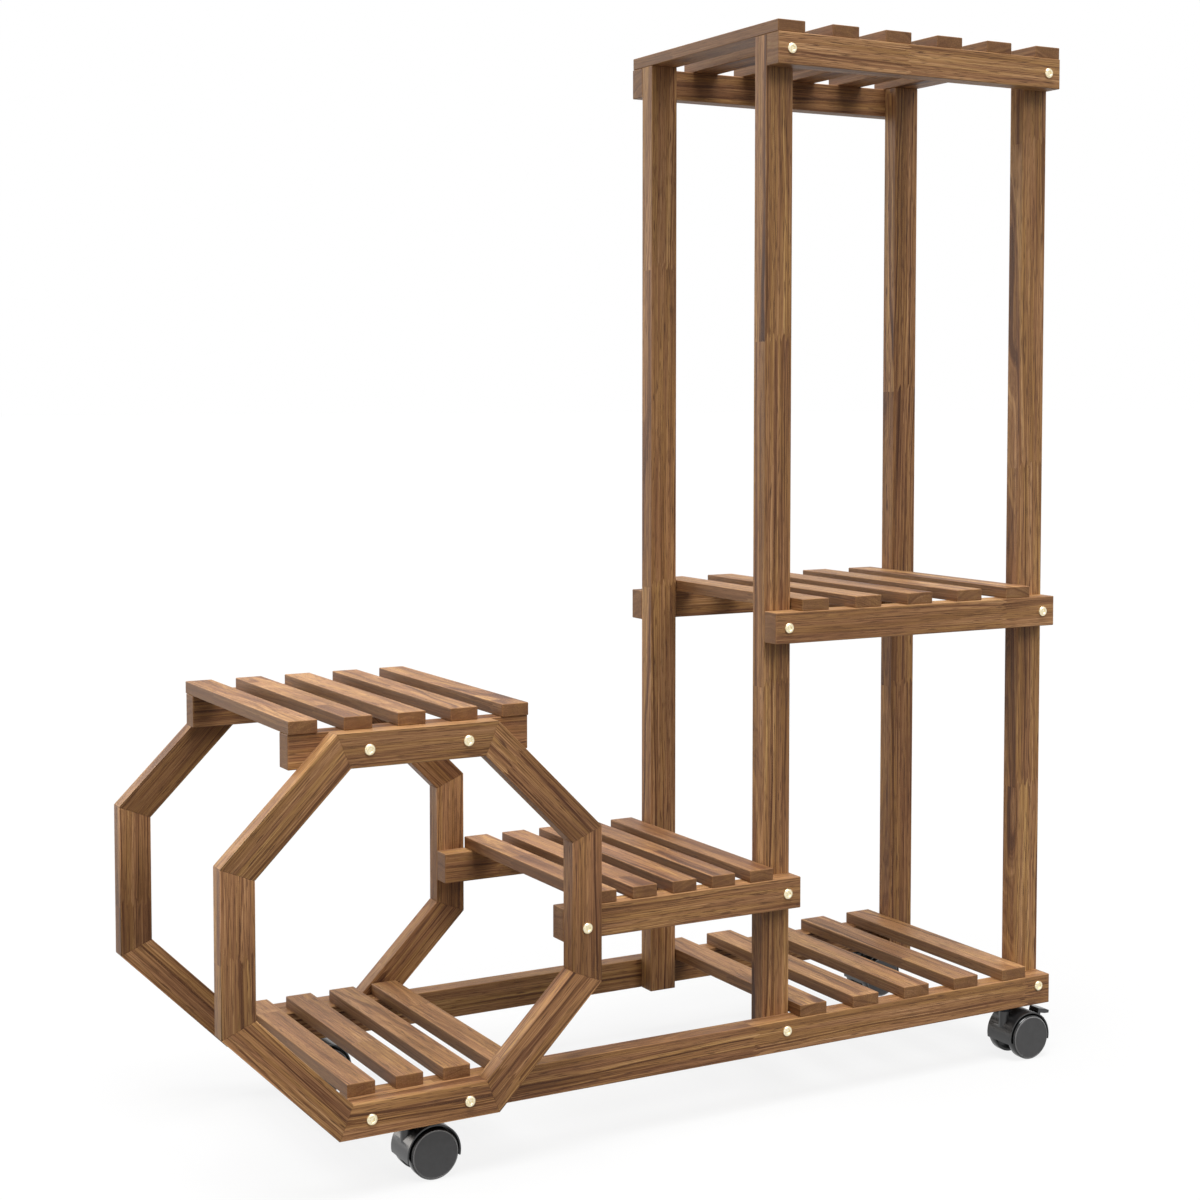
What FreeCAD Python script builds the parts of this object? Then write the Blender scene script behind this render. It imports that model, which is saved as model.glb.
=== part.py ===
import FreeCAD, Part
import math
import os
import re

# Rolling plant stand: a tall slatted tower, a low step shelf and an octagon bay on four swivel casters.
# Millimetres, +Z up, +X from the octagon to the tower, front at -Y, origin on the floor in the plan's middle.

doc = FreeCAD.newDocument("plant_stand")
sheet = doc.addObject("Spreadsheet::Sheet", "Sizes")

SIZES = {
    # timber sections
    "rail_height": 30,
    "rail_depth": 20,
    "post_width": 30,
    "post_depth": 20,
    "bar_width": 30,
    "bar_depth": 18,
    "slat_thickness": 11.5,
    "tower_slat_width": 31,
    "side_slat_width": 26,
    # layout along, across and up
    "octagon_width": 355,
    "octagon_height": 346,
    "octagon_corner": 102.5,
    "step_span": 198,
    "tower_length": 342,
    "frame_depth": 272,
    "step_rise": 137.5,
    "middle_rise": 392.5,
    "top_rise": 937,
    "octagon_shelf_overhang": 37,
    "floor_inset": 117,
    "floor_end_inset": 77,
    "slat_setback": 1,
    "octagon_slat_overhang": 2,
    "slat_side_gap": 1,
    # connector bolts, threaded inserts and dowels
    "bolt_diameter": 6,
    "bolt_reach": 13,
    "bolt_head_diameter": 10,
    "bolt_head_height": 2.2,
    "bolt_socket_flats": 4,
    "bolt_inset": 29,
    "post_bolt_lift": 4.5,
    "insert_diameter": 8,
    "insert_length": 14,
    "dowel_diameter": 6,
    "dowel_length": 16,
    "dowel_in_slat": 7,
    "fit_clearance": 0.05,
    "hole_clearance": 0.3,
    # casters
    "caster_trail": 18.5,
    "left_caster_inset": 175.5,
    "right_caster_inset": 51,
    "wheel_diameter": 45,
    "wheel_width": 10.3,
    "wheel_proud": 2.8,
    "wheel_bevel": 1.6,
    "wheel_end_wall": 2.5,
    "wheel_side_gap": 0.5,
    "wheel_hub_diameter": 12,
    "hood_gap": 1.7,
    "hood_wall": 1.3,
    "hood_width": 36,
    "web_width": 10,
    "hub_diameter": 14,
    "axle_diameter": 5,
    "boss_diameter": 11,
    "stem_pin_diameter": 7,
    "stem_pin_length": 15,
    "stem_collar_diameter": 12.5,
    "stem_collar_height": 4,
    "stem_thread_diameter": 8,
    "stem_thread_length": 15,
    "stem_insert_diameter": 12,
    # brake levers
    "lever_width": 14,
    "lever_thickness": 4.5,
    "lever_length": 9.2,
    "lever_tip_length": 5,
    "lever_tip_thickness": 2.8,
    "lever_rise": 6.9,
    "lever_neck_thickness": 3.6,
    "lever_bar_width": 24,
    "lever_hub_diameter": 3,
    "lever_pin_diameter": 1.8,
    "lever_nose": 3,
    "lever_nose_thickness": 2,
    "lever_stand_off": 0.2,
    "lever_side_gap": 0.4,
    "ear_diameter": 3.6,
    "ear_width": 1.5,
}
# Angles in degrees: the hood's reach below the axle, its web's end, the lever hinge's place on the hood,
# the lean of the lever's neck, the droop of its tread and the lead of its nose.
HOOD_DROP = 12
WEB_END = 160
LEVER_SLOPE = 35
NECK_LEAN = 75
TREAD_DROOP = 12
NOSE_LEAD = 40

for row, (alias, value) in enumerate(SIZES.items(), start=1):
    sheet.set(f"A{row}", alias)
    sheet.set(f"B{row}", str(value))
    sheet.setAlias(f"B{row}", alias)
doc.recompute()


def part_of(size, angle, trig):
    """A size's share along or up at an angle."""
    return f"({size}) * {trig(math.radians(angle)):.9f}"


# Named places, each written as text over the sheet's sizes.
WHEEL_RADIUS = "(wheel_diameter / 2)"
CAVITY = f"({WHEEL_RADIUS} + hood_gap)"
HOOD_RADIUS = f"({CAVITY} + hood_wall)"
HOOD_TOP = f"({WHEEL_RADIUS} + {HOOD_RADIUS})"
CASTER_HEIGHT = f"({HOOD_TOP} + stem_collar_height)"
WHEEL_INNER = "(hood_width / 2 + wheel_proud - wheel_width)"
WHEEL_HUB_INNER = "(web_width / 2 + wheel_side_gap)"
WHEEL_HUB_REACH = f"({WHEEL_INNER} - {WHEEL_HUB_INNER})"
HINGE_RADIUS = f"({HOOD_RADIUS} + lever_stand_off)"
HINGE_ALONG = part_of(HINGE_RADIUS, LEVER_SLOPE, math.cos)
HINGE_UP = part_of(HINGE_RADIUS, LEVER_SLOPE, math.sin)
TREAD_ALONG = part_of("lever_length + lever_tip_length", TREAD_DROOP, math.cos)
TREAD_EDGE = part_of("lever_tip_thickness / 2", TREAD_DROOP, math.sin)
LEVER_REACH = f"(caster_trail + {HINGE_ALONG} + {TREAD_ALONG} + {TREAD_EDGE})"
LEVER_OVERHANG = f"max(0; {LEVER_REACH} - right_caster_inset)"
TIMBER_LENGTH = "(octagon_width + step_span + tower_length)"
OCTAGON_LEFT = f"(0 - ({TIMBER_LENGTH} + {LEVER_OVERHANG}) / 2)"
OCTAGON_RIGHT = f"({OCTAGON_LEFT} + octagon_width)"
OCTAGON_MIDDLE = f"({OCTAGON_LEFT} + octagon_width / 2)"
TOWER_LEFT = f"({OCTAGON_RIGHT} + step_span)"
TOWER_RIGHT = f"({TOWER_LEFT} + tower_length)"
BOTTOM_LEFT = f"({OCTAGON_LEFT} + floor_inset)"
FLAT_LONG = "(octagon_width - 2 * octagon_corner)"
FLAT_TALL = "(octagon_height - 2 * octagon_corner)"
STEP_Z = f"({CASTER_HEIGHT} + step_rise)"
MIDDLE_Z = f"({CASTER_HEIGHT} + middle_rise)"
TOP_Z = f"({CASTER_HEIGHT} + top_rise)"
OCTAGON_TOP = f"({CASTER_HEIGHT} + octagon_height)"
OCTAGON_RAIL_Z = f"({OCTAGON_TOP} - rail_height)"
RAIL_FACE = "(frame_depth / 2)"
RAIL_CENTRE = "(frame_depth / 2 - rail_depth / 2)"
POST_FACE = "(frame_depth / 2 - rail_depth)"
BAR_FACE = "(frame_depth / 2 + bar_depth)"

NAMES = re.compile(r"[a-z_]+[a-z]")
UPRIGHT = FreeCAD.Rotation()
ABOUT_Y = FreeCAD.Vector(0, 1, 0)
FRONT_TO_REAR = FreeCAD.Rotation(FreeCAD.Vector(1, 0, 0), -90)
REAR_TO_FRONT = FreeCAD.Rotation(FreeCAD.Vector(1, 0, 0), 90)
LEFT_TO_RIGHT = FreeCAD.Rotation(FreeCAD.Vector(1, 1, 1), -120)
SIDES = ("front", "rear")
MITRE = math.tan(math.radians(22.5))
drill = {}
blanks = {}
groups = {}


def bound(text):
    """The text as an expression: every size name is read from the sheet."""
    return NAMES.sub(lambda m: f"Sizes.{m.group()}" if m.group() in SIZES else m.group(), str(text))


def solid(kind, label, sizes, at, turn=UPRIGHT):
    """A primitive with its sizes and place bound to the sheet."""
    item = doc.addObject(kind, label)
    item.Label = label
    item.Placement = FreeCAD.Placement(FreeCAD.Vector(0, 0, 0), turn)
    for name, text in sizes.items():
        item.setExpression(name, bound(text))
    for axis, text in zip("xyz", at):
        item.setExpression(f"Placement.Base.{axis}", bound(text))
    return item


def box(label, size, at):
    """A board lying square to the axes, given its three sizes and its lowest corner."""
    return solid("Part::Box", label, dict(zip(("Length", "Width", "Height"), size)), at)


def rod(label, diameter, length, at, turn=UPRIGHT):
    """A round bar starting at a point and running along its turned Z axis."""
    return solid("Part::Cylinder", label, {"Radius": f"({diameter}) / 2", "Height": length}, at, turn)


def together(label, items):
    """Several separate solids under one name."""
    group = doc.addObject("Part::Compound", label)
    group.Label = label
    group.Links = items
    return group


def joined(label, items):
    """Several overlapping solids made into one."""
    one = doc.addObject("Part::MultiFuse", label)
    one.Label = label
    one.Shapes = items
    return one


def without(label, base, tools):
    """A solid with the tools' space taken out of it."""
    rest = doc.addObject("Part::Cut", label)
    rest.Label = label
    rest.Base = base
    rest.Tool = tools[0] if len(tools) == 1 else together(f"{label}_holes", tools)
    return rest


def outward(side, distance):
    """A place across the stand, measured from the middle towards the front or the rear."""
    return f"({distance})" if side == "rear" else f"(0 - {distance})"


def inner_corner(side, face, depth):
    """The lowest Y of a board whose outer face lies at a distance from the middle."""
    return f"({face} - {depth})" if side == "rear" else f"(0 - {face})"


# Posts: four uprights standing inside the rails, from the rail undersides up to the top shelf's slats.
for side in SIDES:
    for hand, left in (("left", TOWER_LEFT), ("right", f"({TOWER_RIGHT} - post_width)")):
        blanks[f"{side}_{hand}_post"] = box(
            f"{side}_{hand}_post_blank",
            ("post_width", "post_depth", "top_rise + rail_height"),
            (left, inner_corner(side, POST_FACE, "post_depth"), CASTER_HEIGHT),
        )

# Rails: five pairs, front and rear, each lying on edge outside the posts.
RAILS = {
    "bottom_rail": (BOTTOM_LEFT, TOWER_RIGHT, CASTER_HEIGHT),
    "step_rail": (f"({OCTAGON_RIGHT} - bar_width)", f"({TOWER_LEFT} + post_width)", STEP_Z),
    "middle_rail": (TOWER_LEFT, TOWER_RIGHT, MIDDLE_Z),
    "top_rail": (TOWER_LEFT, TOWER_RIGHT, TOP_Z),
    "octagon_rail": (
        f"({OCTAGON_MIDDLE} - {FLAT_LONG} / 2 - octagon_shelf_overhang)",
        f"({OCTAGON_MIDDLE} + {FLAT_LONG} / 2 + octagon_shelf_overhang)",
        OCTAGON_RAIL_Z,
    ),
}
for rail, (left, right, low) in RAILS.items():
    for side in SIDES:
        blanks[f"{side}_{rail}"] = box(
            f"{side}_{rail}_blank",
            (f"{right} - {left}", "rail_depth", "rail_height"),
            (left, inner_corner(side, RAIL_FACE, "rail_depth"), low),
        )

# Octagon frames: eight mitred bars each, front and rear, lying flat against the outside of the rails.
SLANT = f"(octagon_corner * {math.sqrt(2):.9f})"
OCTAGON_RISE = f"({CASTER_HEIGHT} + octagon_height / 2)"
X_LOW, X_HIGH = OCTAGON_LEFT, OCTAGON_RIGHT
Z_LOW, Z_HIGH = CASTER_HEIGHT, OCTAGON_TOP
NEAR, FAR = "octagon_corner / 2", "octagon_corner"
BARS = (
    ("top", FLAT_LONG, OCTAGON_MIDDLE, Z_HIGH),
    ("upper_right", SLANT, f"{X_HIGH} - {NEAR}", f"{Z_HIGH} - {NEAR}"),
    ("right", FLAT_TALL, X_HIGH, OCTAGON_RISE),
    ("lower_right", SLANT, f"{X_HIGH} - {NEAR}", f"{Z_LOW} + {NEAR}"),
    ("bottom", FLAT_LONG, OCTAGON_MIDDLE, Z_LOW),
    ("lower_left", SLANT, f"{X_LOW} + {NEAR}", f"{Z_LOW} + {NEAR}"),
    ("left", FLAT_TALL, X_LOW, OCTAGON_RISE),
    ("upper_left", SLANT, f"{X_LOW} + {NEAR}", f"{Z_HIGH} - {NEAR}"),
)
# Outer corners in the same order: each one ends the bar of the same place in the list.
CORNERS = (
    (f"{X_HIGH} - {FAR}", Z_HIGH),
    (X_HIGH, f"{Z_HIGH} - {FAR}"),
    (X_HIGH, f"{Z_LOW} + {FAR}"),
    (f"{X_HIGH} - {FAR}", Z_LOW),
    (f"{X_LOW} + {FAR}", Z_LOW),
    (X_LOW, f"{Z_LOW} + {FAR}"),
    (X_LOW, f"{Z_HIGH} - {FAR}"),
    (f"{X_LOW} + {FAR}", Z_HIGH),
)
for side in SIDES:
    for place, (name, length, x, z) in enumerate(BARS):
        shoulder = f"({length} / 2 - bar_width * {MITRE:.9f})"
        trapezium = {
            "Xmin": f"0 - {length} / 2",
            "Xmax": f"{length} / 2",
            "X2min": f"0 - {shoulder}",
            "X2max": shoulder,
            "Ymin": "0",
            "Ymax": "bar_width",
            "Zmin": "0",
            "Zmax": "bar_depth",
            "Z2min": "0",
            "Z2max": "bar_depth",
        }
        blanks[f"{side}_octagon_{name}"] = solid(
            "Part::Wedge",
            f"{side}_octagon_{name}_blank",
            trapezium,
            (x, inner_corner(side, BAR_FACE, "bar_depth"), z),
            FreeCAD.Rotation(ABOUT_Y, 45 * place) * FRONT_TO_REAR,
        )

# Slats: boards laid across each pair of rails, spread evenly between two ends.
TOWER_BAY = (f"({TOWER_LEFT} + post_width + slat_side_gap)", f"({TOWER_RIGHT} - post_width - slat_side_gap)")
STEP_BAY = (OCTAGON_RIGHT, f"({TOWER_LEFT} - slat_side_gap)")
FLOOR_END = f"({OCTAGON_RIGHT} - floor_end_inset)"
OVERHANG = "(0 - octagon_slat_overhang)"
SLAT_COUNTS = {
    "top_slats": 6,
    "middle_slats": 5,
    "deck_slats": 5,
    "step_slats": 5,
    "octagon_shelf_slats": 5,
    "octagon_floor_slats": 4,
}
SHELVES = {
    "top_slats": (TOWER_LEFT, TOWER_RIGHT, "tower_slat_width", "slat_setback", "top_rail"),
    "middle_slats": (*TOWER_BAY, "tower_slat_width", "slat_setback", "middle_rail"),
    "deck_slats": (*TOWER_BAY, "tower_slat_width", "slat_setback", "bottom_rail"),
    "step_slats": (*STEP_BAY, "side_slat_width", "slat_setback", "step_rail"),
    "octagon_shelf_slats": (*RAILS["octagon_rail"][:2], "side_slat_width", OVERHANG, "octagon_rail"),
    "octagon_floor_slats": (BOTTOM_LEFT, FLOOR_END, "side_slat_width", "slat_setback", "bottom_rail"),
}
groups["wood_dowels"] = []
for shelf, (left, right, width, setback, rail) in SHELVES.items():
    boards = []
    count = SLAT_COUNTS[shelf]
    rail_top = f"({RAILS[rail][2]} + rail_height)"
    pitch = f"({right} - {left} - {width}) / {count - 1}"
    for number in range(count):
        label = f"{shelf}_{number + 1}"
        low_x = f"{left} + {number} * {pitch}"
        blank = box(
            f"{label}_blank",
            (width, f"frame_depth - 2 * {setback}", "slat_thickness"),
            (low_x, f"{setback} - {RAIL_FACE}", rail_top),
        )
        sockets = []
        for side in SIDES:
            spot = (f"{low_x} + {width} / 2", outward(side, RAIL_CENTRE))
            pin_low = f"({rail_top} - dowel_length + dowel_in_slat)"
            groups["wood_dowels"].append(
                rod(f"{label}_{side}_dowel", "dowel_diameter", "dowel_length", (*spot, pin_low))
            )
            hole = rod(
                f"{label}_{side}_dowel_hole",
                "dowel_diameter + 2 * fit_clearance",
                "dowel_length + 2 * hole_clearance",
                (*spot, f"{pin_low} - hole_clearance"),
            )
            sockets.append(hole)
            drill.setdefault(f"{side}_{rail}", []).append(hole)
        boards.append(without(label, blank, sockets))
    groups[shelf] = boards

# Mitre dowels: one across every corner of both octagons, square to the mitre and at half the bar's depth.
HALF_MITRE = f"(bar_width / {2 * math.cos(math.radians(22.5)):.9f})"
for side in SIDES:
    for place, (corner_x, corner_z) in enumerate(CORNERS):
        slope = math.radians(45 * place + 22.5)
        turn = FreeCAD.Rotation(ABOUT_Y, 45 * place + 22.5 + 90)
        middle_x = f"{corner_x} - {HALF_MITRE} * {math.sin(slope):.9f}"
        middle_z = f"{corner_z} - {HALF_MITRE} * {math.cos(slope):.9f}"
        middle_y = outward(side, f"({RAIL_FACE} + bar_depth / 2)")
        for label, diameter, length in (
            ("dowel", "dowel_diameter", "dowel_length"),
            ("hole", "dowel_diameter + 2 * fit_clearance", "dowel_length + 2 * hole_clearance"),
        ):
            start_x = f"{middle_x} - ({length}) / 2 * {math.cos(slope):.9f}"
            start_z = f"{middle_z} + ({length}) / 2 * {math.sin(slope):.9f}"
            start = (start_x, middle_y, start_z)
            pin = rod(f"{side}_mitre_{label}_{place + 1}", diameter, length, start, turn)
            if label == "dowel":
                groups["wood_dowels"].append(pin)
            else:
                for bar in (BARS[place][0], BARS[(place + 1) % 8][0]):
                    drill.setdefault(f"{side}_octagon_{bar}", []).append(pin)

# Connector bolts: shallow round heads outside, each screwed into a threaded insert in the piece behind.
LEFT_POST_X = f"({TOWER_LEFT} + post_width / 2)"
RIGHT_POST_X = f"({TOWER_RIGHT} - post_width / 2)"
BOLT_APART = f"({FLAT_LONG} / 2 - bolt_inset)"
BOLTS = [
    ("octagon_top", "octagon_rail", f"{OCTAGON_MIDDLE} - {BOLT_APART}", OCTAGON_RAIL_Z),
    ("octagon_top", "octagon_rail", f"{OCTAGON_MIDDLE} + {BOLT_APART}", OCTAGON_RAIL_Z),
    ("octagon_bottom", "bottom_rail", f"{OCTAGON_MIDDLE} - {BOLT_APART}", CASTER_HEIGHT),
    ("octagon_bottom", "bottom_rail", f"{OCTAGON_MIDDLE} + {BOLT_APART}", CASTER_HEIGHT),
    ("octagon_right", "step_rail", f"{OCTAGON_RIGHT} - bar_width / 2", STEP_Z),
    ("step_rail", "left_post", LEFT_POST_X, STEP_Z),
]
POST_BOLTS = (
    ("bottom_rail", f"({CASTER_HEIGHT} + post_bolt_lift)"),
    ("middle_rail", MIDDLE_Z),
    ("top_rail", TOP_Z),
)
for rail, low in POST_BOLTS:
    BOLTS.append((rail, "left_post", LEFT_POST_X, low))
    BOLTS.append((rail, "right_post", RIGHT_POST_X, low))
groups["connector_bolts"] = []
groups["threaded_inserts"] = []
for side in SIDES:
    inward = FRONT_TO_REAR if side == "front" else REAR_TO_FRONT
    away = REAR_TO_FRONT if side == "front" else FRONT_TO_REAR
    for number, (outer, inner, x, low) in enumerate(BOLTS, start=1):
        label = f"{side}_bolt_{number}"
        z = f"{low} + rail_height / 2"
        from_bar = outer.startswith("octagon")
        face, joint = (BAR_FACE, RAIL_FACE) if from_bar else (RAIL_FACE, POST_FACE)
        clamped = "bar_depth" if from_bar else "rail_depth"
        at_face = (x, outward(side, face), z)
        at_joint = (x, outward(side, joint), z)
        crown = {
            "Radius1": "bolt_head_diameter / 2",
            "Radius2": "bolt_head_diameter / 2 - bolt_head_height / 2",
            "Height": "bolt_head_height",
        }
        socket_size = {
            "Polygon": "6",
            "Circumradius": "bolt_socket_flats / sqrt(3)",
            "Height": "bolt_head_height",
        }
        socket_floor = (x, outward(side, f"({face} + bolt_head_height / 2)"), z)
        head = solid("Part::Cone", f"{label}_head", crown, at_face, away)
        shank = rod(f"{label}_shank", "bolt_diameter", f"{clamped} + bolt_reach", at_face, inward)
        socket = solid("Part::Prism", f"{label}_socket", socket_size, socket_floor, away)
        groups["connector_bolts"].append(without(label, joined(f"{label}_body", [head, shank]), [socket]))
        sleeve = rod(f"{label}_sleeve", "insert_diameter", "insert_length", at_joint, inward)
        sleeve_bore = rod(
            f"{label}_sleeve_bore", "bolt_diameter + 2 * fit_clearance", "insert_length", at_joint, inward
        )
        groups["threaded_inserts"].append(without(f"{side}_insert_{number}", sleeve, [sleeve_bore]))
        way = rod(f"{label}_way", "bolt_diameter + 2 * hole_clearance", clamped, at_face, inward)
        pocket = rod(
            f"{label}_pocket",
            "insert_diameter + 2 * fit_clearance",
            "insert_length + hole_clearance",
            at_joint,
            inward,
        )
        drill.setdefault(f"{side}_{outer}", []).append(way)
        drill.setdefault(f"{side}_{inner}", []).append(pocket)

# Casters: a stem screwed up into the bottom rail, a hood that swivels on it, an axle and two wheels.
CASTERS = {
    "front_left": (f"{OCTAGON_LEFT} + left_caster_inset", "front", False),
    "front_right": (f"{TOWER_RIGHT} - right_caster_inset", "front", True),
    "rear_left": (f"{OCTAGON_LEFT} + left_caster_inset", "rear", False),
    "rear_right": (f"{TOWER_RIGHT} - right_caster_inset", "rear", True),
}
groups["caster_stems"] = []
groups["stem_inserts"] = []
for spot, (stem_x, side, braked) in CASTERS.items():
    label = f"{spot}_caster"
    stem_y = outward(side, RAIL_CENTRE)
    axle_x = f"{stem_x} + caster_trail"

    def across(name, diameter, start, length):
        """A round bar along Y, centred on the axle and given from the caster's middle."""
        at = (axle_x, f"{stem_y} + {start}", WHEEL_RADIUS)
        return rod(f"{label}_{name}", diameter, length, at, FRONT_TO_REAR)

    def upright(name, diameter, low, length):
        """A round bar standing on the stem's line."""
        return rod(f"{label}_{name}", diameter, length, (stem_x, stem_y, low))

    # stem: pin below, collar under the rail, thread above; the insert is screwed into the rail
    pin_low = f"({HOOD_TOP} - stem_pin_length)"
    collar_low = f"({HOOD_TOP} + hole_clearance)"
    thread_top = f"({CASTER_HEIGHT} + stem_thread_length)"
    pin = upright("stem_pin", "stem_pin_diameter", pin_low, f"{collar_low} - {pin_low}")
    collar = upright("stem_collar", "stem_collar_diameter", collar_low, f"{CASTER_HEIGHT} - {collar_low}")
    thread = upright("stem_thread", "stem_thread_diameter", collar_low, f"{thread_top} - {collar_low}")
    groups["caster_stems"].append(joined(f"{label}_stem", [pin, collar, thread]))
    bore_size = "stem_thread_diameter + 2 * fit_clearance"
    sleeve = upright("stem_sleeve", "stem_insert_diameter", CASTER_HEIGHT, "stem_thread_length")
    bore = upright("stem_sleeve_bore", bore_size, CASTER_HEIGHT, "stem_thread_length")
    groups["stem_inserts"].append(without(f"{label}_stem_insert", sleeve, [bore]))
    pocket_size = "stem_insert_diameter + 2 * fit_clearance"
    pocket = upright("stem_pocket", pocket_size, CASTER_HEIGHT, "stem_thread_length + hole_clearance")
    drill[f"{side}_bottom_rail"].append(pocket)

    def sector(name, radius, width, start, sweep):
        """A slice of a round bar along Y, centred on the caster's middle, from an angle round over the top."""
        sizes = {"Radius": radius, "Height": width, "Angle": str(sweep)}
        at = (axle_x, f"{stem_y} + {width} / 2", WHEEL_RADIUS)
        turn = FreeCAD.Rotation(ABOUT_Y, -start) * REAR_TO_FRONT
        return solid("Part::Cylinder", f"{label}_{name}", sizes, at, turn)

    # hood: shell over the wheels, web between them, hub for the axle and boss for the stem
    shell = sector("hood_shell", HOOD_RADIUS, "hood_width", 0 - HOOD_DROP, 180 + 2 * HOOD_DROP)
    hub = across("hub", "hub_diameter", "0 - web_width / 2", "web_width")
    boss = upright("boss", "boss_diameter", WHEEL_RADIUS, HOOD_RADIUS)
    web_slot = sector("web_slot", CAVITY, "web_width", WEB_END, 180 + 2 * HOOD_DROP - WEB_END)
    cavity_width = "(hood_width + boss_diameter - web_width) / 2"
    hollow = [
        without(f"{label}_web_recess", web_slot, [hub]),
        across("cavity_rear", f"2 * {CAVITY}", "web_width / 2", cavity_width),
        across("cavity_front", f"2 * {CAVITY}", f"0 - web_width / 2 - {cavity_width}", cavity_width),
        across("axle_hole", "axle_diameter + 2 * fit_clearance", "0 - web_width / 2", "web_width"),
        upright(
            "stem_hole",
            "stem_pin_diameter + 2 * fit_clearance",
            f"{HOOD_TOP} - stem_pin_length - hole_clearance",
            "stem_pin_length + 2 * hole_clearance",
        ),
    ]
    body = [shell, hub, boss]
    if braked:
        pivot_x = f"{axle_x} + {HINGE_ALONG}"
        pivot_z = f"{WHEEL_RADIUS} + {HINGE_UP}"
        gap_half = "(lever_bar_width / 2 + lever_side_gap)"

        def hinge(name, diameter, start, length):
            """A round bar along Y, centred on the lever's hinge line."""
            at = (pivot_x, f"{stem_y} + {start}", pivot_z)
            return rod(f"{label}_{name}", diameter, length, at, FRONT_TO_REAR)

        body.append(hinge("ear_rear", "ear_diameter", gap_half, "ear_width"))
        body.append(hinge("ear_front", "ear_diameter", f"0 - {gap_half} - ear_width", "ear_width"))
        window_size = "2 * (lever_nose + 2 * lever_side_gap)"
        hollow.append(hinge("window", window_size, f"0 - {gap_half}", f"2 * {gap_half}"))
        ear_reach = f"({gap_half} + ear_width)"
        bore_size = "lever_pin_diameter + 2 * fit_clearance"
        hollow.append(hinge("ear_bore", bore_size, f"0 - {ear_reach}", f"2 * {ear_reach}"))

        def arm(name, width, near, far, root, end, rise, droop):
            """A plate leaving the hinge line at a droop: its start, its end and the thickness at both."""
            plate = {
                "Xmin": f"0 - {root} / 2",
                "Xmax": f"{root} / 2",
                "X2min": f"0 - {end} / 2",
                "X2max": f"{end} / 2",
                "Ymin": near,
                "Ymax": far,
                "Zmin": f"0 - {width} / 2",
                "Zmax": f"{width} / 2",
                "Z2min": f"0 - {width} / 2",
                "Z2max": f"{width} / 2",
            }
            at = (pivot_x, stem_y, f"{pivot_z} + {rise}")
            turn = FreeCAD.Rotation(ABOUT_Y, droop) * LEFT_TO_RIGHT
            return solid("Part::Wedge", f"{label}_lever_{name}", plate, at, turn)

        # brake lever: a bar with two pins in the ears, a neck, a tread with a thinned tip and a braking nose
        thick, thin = "lever_thickness", "lever_tip_thickness"
        neck, nose = "lever_neck_thickness", "lever_nose_thickness"
        tread_end = "lever_length + lever_tip_length"
        nose_turn = 180 - LEVER_SLOPE - NOSE_LEAD
        lever = [
            hinge("lever_hub", "lever_hub_diameter", "0 - lever_bar_width / 2", "lever_bar_width"),
            hinge("lever_pins", "lever_pin_diameter", f"0 - {ear_reach}", f"2 * {ear_reach}"),
            arm("neck", "lever_width", "0", "lever_rise", neck, neck, "0", 0 - NECK_LEAN),
            arm("tread", "lever_width", "0", "lever_length", thick, thick, "lever_rise", TREAD_DROOP),
            arm("tip", "lever_width", "lever_length", tread_end, thick, thin, "lever_rise", TREAD_DROOP),
            arm("nose", "lever_bar_width", "0", "lever_nose", nose, nose, "0", nose_turn),
        ]
        blanks[f"{spot}_brake_lever"] = joined(f"{label}_lever_blank", lever)
    blanks[f"{spot}_hood"] = joined(f"{label}_hood_blank", body)
    drill[f"{spot}_hood"] = hollow

    # axle and the two wheels, each closed on its outer side and with a hub reaching in to the web
    axle_half = f"({WHEEL_INNER} + wheel_width - wheel_end_wall - hole_clearance)"
    blanks[f"{spot}_axle"] = across("axle_blank", "axle_diameter", f"0 - {axle_half}", f"2 * {axle_half}")
    for wheel, outer_turn, sign in (("front", REAR_TO_FRONT, "0 -"), ("rear", FRONT_TO_REAR, "")):
        hub_at = (axle_x, f"{stem_y} + ({sign} {WHEEL_HUB_INNER})", WHEEL_RADIUS)
        inner_at = (axle_x, f"{stem_y} + ({sign} {WHEEL_INNER})", WHEEL_RADIUS)
        bevel_at = (axle_x, f"{stem_y} + ({sign} ({WHEEL_INNER} + wheel_width - wheel_bevel))", WHEEL_RADIUS)
        rim = {"Radius1": WHEEL_RADIUS, "Radius2": f"{WHEEL_RADIUS} - wheel_bevel", "Height": "wheel_bevel"}
        tread_width = "wheel_width - wheel_bevel"
        tread = rod(f"{label}_{wheel}_tread", "wheel_diameter", tread_width, inner_at, outer_turn)
        face = solid("Part::Cone", f"{label}_{wheel}_face", rim, bevel_at, outer_turn)
        hub_length = f"{WHEEL_HUB_REACH} + wheel_width / 2"
        wheel_hub = rod(f"{label}_{wheel}_wheel_hub", "wheel_hub_diameter", hub_length, hub_at, outer_turn)
        blanks[f"{spot}_{wheel}_wheel"] = joined(f"{label}_{wheel}_wheel_blank", [tread, face, wheel_hub])
        drill[f"{spot}_{wheel}_wheel"] = [
            rod(
                f"{label}_{wheel}_wheel_bore",
                "axle_diameter + 2 * fit_clearance",
                f"{WHEEL_HUB_REACH} + wheel_width - wheel_end_wall",
                hub_at,
                outer_turn,
            )
        ]

# Finished pieces: every blank with its holes taken out, and the groups of like pieces.
pieces = []
for name, blank in blanks.items():
    if name in drill:
        pieces.append(without(name, blank, drill[name]))
    else:
        blank.Label = name
        pieces.append(blank)
for name, items in groups.items():
    pieces.append(together(name, items))
doc.recompute()

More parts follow.
